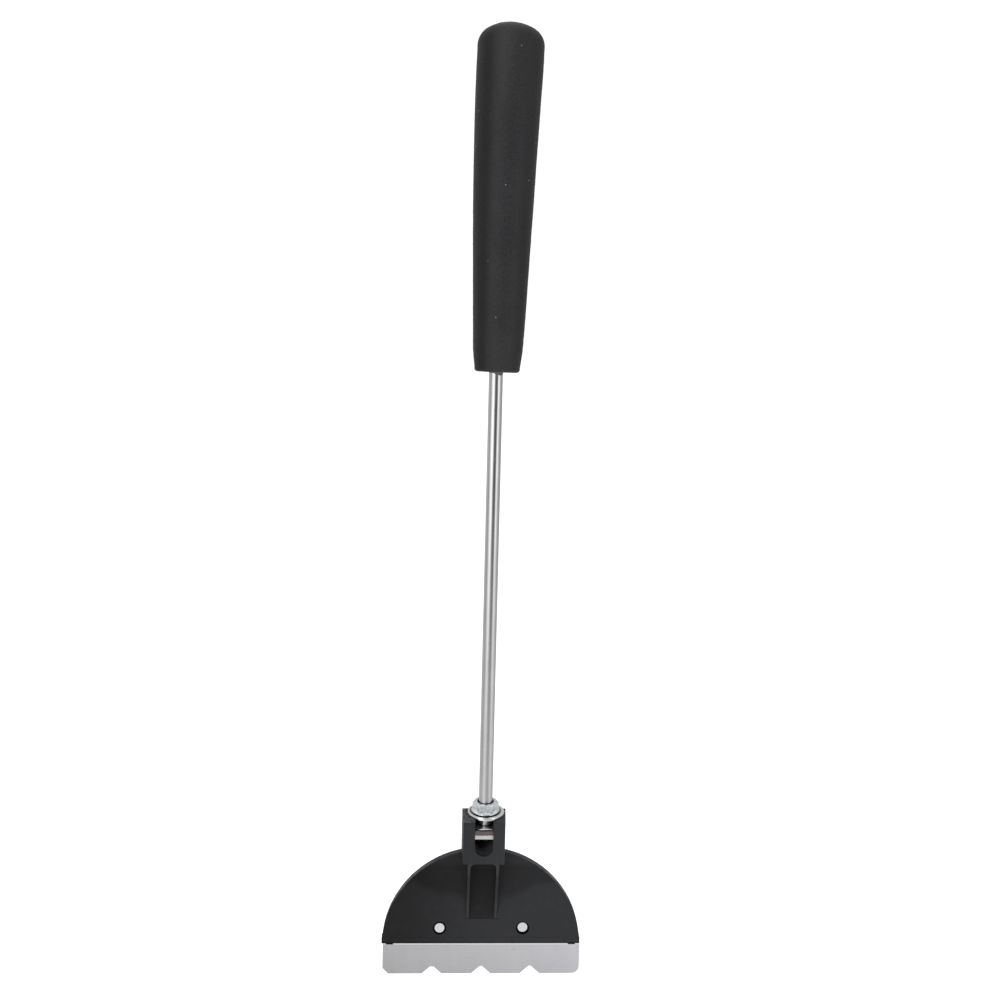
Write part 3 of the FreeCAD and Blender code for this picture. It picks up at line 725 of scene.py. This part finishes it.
# How bright the room is round the compass, as (degrees from the front towards +X, value): two tall light
# panels at the front left and right with a dark gap between them, and the paler room below them.
ROOM_LEVEL = (
    (-180, 0.50), (-118, 0.64), (-98, 0.52), (-80, 0.40), (-62, 0.92), (-46, 1.62),
    (-24, 1.62), (-10, 0.38), (-1, 0.14), (27, 0.12), (36, 0.56), (46, 1.50),
    (60, 1.30), (76, 0.68), (96, 0.46), (122, 0.44), (180, 0.50),
)
ROOM_BELOW = (
    (-180, 0.50), (-118, 0.64), (-101, 0.50), (-80, 0.42), (-60, 0.56), (-40, 0.80),
    (-22, 0.84), (-8, 0.60), (8, 0.48), (25, 0.40), (41, 0.54), (57, 0.88),
    (75, 0.82), (97, 0.64), (119, 0.56), (180, 0.50),
)
ROOM_FLOOR = 0.92
ROOM_CEILING = 0.85
BACKDROP_STRENGTH = 1.05


def build_floor():
    """A pale floor well below the blade."""
    mesh = bmesh.new()
    bmesh.ops.create_grid(mesh, x_segments=8, y_segments=8, size=FLOOR_HALF_SIZE)
    floor = make_object("studio_floor", mesh)
    floor.location.z = cad_low.z - FLOOR_DROP
    material, shader, _ = new_material("studio_floor")
    shader.inputs["Base Color"].default_value = grey(0.92)
    shader.inputs["Roughness"].default_value = 0.9
    shader.inputs["Specular IOR Level"].default_value = 0.1
    shader.inputs["Emission Color"].default_value = grey(1.0)
    shader.inputs["Emission Strength"].default_value = 0.55
    floor.data.materials.append(material)
    floor.visible_glossy = False


def compass_ramp(n, turn, stops):
    """The room's brightness at an azimuth, from (degrees from the front, value) stops."""
    node = n.add("ShaderNodeValToRGB")
    n.feed(node.inputs[0], turn)
    elements = node.color_ramp.elements
    while len(elements) > 1:
        elements.remove(elements[-1])
    for i, (degrees, value) in enumerate(stops):
        position = (degrees + 180) / 360
        element = elements[0] if i == 0 else elements.new(position)
        element.position = position
        element.color = grey(value)
    return node.outputs[0]


def build_world():
    """A soft room that only the surfaces see, and a white backdrop for the camera."""
    world = bpy.data.worlds.new("studio")
    bpy.context.scene.world = world
    world.use_nodes = True
    world.node_tree.nodes.clear()
    n = Nodes(world.node_tree)
    x, y, z = n.axes(n.add("ShaderNodeTexCoord").outputs["Generated"])
    turn = n.remap(n.math("ARCTAN2", x, n.product(y, -1.0)), -math.pi, math.pi)
    tilt = n.math("ARCSINE", z)

    def tilted(start, end):
        return n.remap(tilt, math.radians(start), math.radians(end), smooth=True)

    level = compass_ramp(n, turn, ROOM_LEVEL)
    colour = n.mix_colour(tilted(-9, -21), level, compass_ramp(n, turn, ROOM_BELOW))
    colour = n.mix_colour(tilted(-26, -34), colour, grey(ROOM_FLOOR))
    colour = n.mix_colour(tilted(25, 55), colour, grey(ROOM_CEILING))
    lit = n.add("ShaderNodeBackground", Color=colour, Strength=1.0)
    seen = n.add("ShaderNodeBackground", Color=grey(1.0), Strength=BACKDROP_STRENGTH)
    mixed = n.add("ShaderNodeMixShader")
    n.feed(mixed.inputs[0], n.add("ShaderNodeLightPath").outputs["Is Camera Ray"])
    n.feed(mixed.inputs[1], lit.outputs[0])
    n.feed(mixed.inputs[2], seen.outputs[0])
    n.add("ShaderNodeOutputWorld", Surface=mixed.outputs[0])


def soft_light(name, azimuth, elevation, distance, size, power):
    """A square soft box that faces the tool's middle. Azimuth 0 is the front and grows towards +X."""
    light = bpy.data.lights.new(name, "AREA")
    light.shape = "SQUARE"
    light.size = size
    light.energy = power
    lamp = bpy.data.objects.new(name, light)
    bpy.context.scene.collection.objects.link(lamp)
    a, e = math.radians(azimuth), math.radians(elevation)
    offset = Vector((math.sin(a) * math.cos(e), -math.cos(a) * math.cos(e), math.sin(e)))
    lamp.location = (cad_low + cad_high) / 2 + offset * distance
    lamp.rotation_mode = "QUATERNION"
    lamp.rotation_quaternion = offset.to_track_quat("Z", "Y")
    lamp.visible_camera = False
    lamp.visible_glossy = False


def build_camera():
    """The camera in front of the tool, a little above the middle and looking slightly down."""
    data = bpy.data.cameras.new("camera")
    data.sensor_width = CAMERA_SENSOR
    data.lens = CAMERA_LENS
    data.shift_y = CAMERA_SHIFT_Y
    data.clip_start = 0.01
    data.clip_end = 100.0
    data.dof.use_dof = False
    camera = bpy.data.objects.new("camera", data)
    bpy.context.scene.collection.objects.link(camera)
    camera.location = (-CAMERA_DISTANCE * math.sin(CAMERA_BEARING),
                       -CAMERA_DISTANCE * math.cos(CAMERA_BEARING), CAMERA_Z)
    forward = Vector((math.sin(CAMERA_HEADING) * math.cos(CAMERA_DIP),
                      math.cos(CAMERA_HEADING) * math.cos(CAMERA_DIP), -math.sin(CAMERA_DIP)))
    level_right = forward.cross(Vector((0, 0, 1))).normalized()
    level_up = level_right.cross(forward)
    right = level_right * math.cos(CAMERA_ROLL) + level_up * math.sin(CAMERA_ROLL)
    up = level_up * math.cos(CAMERA_ROLL) - level_right * math.sin(CAMERA_ROLL)
    camera.rotation_mode = "QUATERNION"
    camera.rotation_quaternion = Matrix((right, up, -forward)).transposed().to_quaternion()
    bpy.context.scene.camera = camera


build_floor()
build_world()
soft_light("key_light", -28, 22, 1.1, 0.5, 3.0)
soft_light("fill_light", 50, 30, 1.3, 0.9, 2.0)
build_camera()
bpy.context.scene.view_settings.view_transform = "Standard"
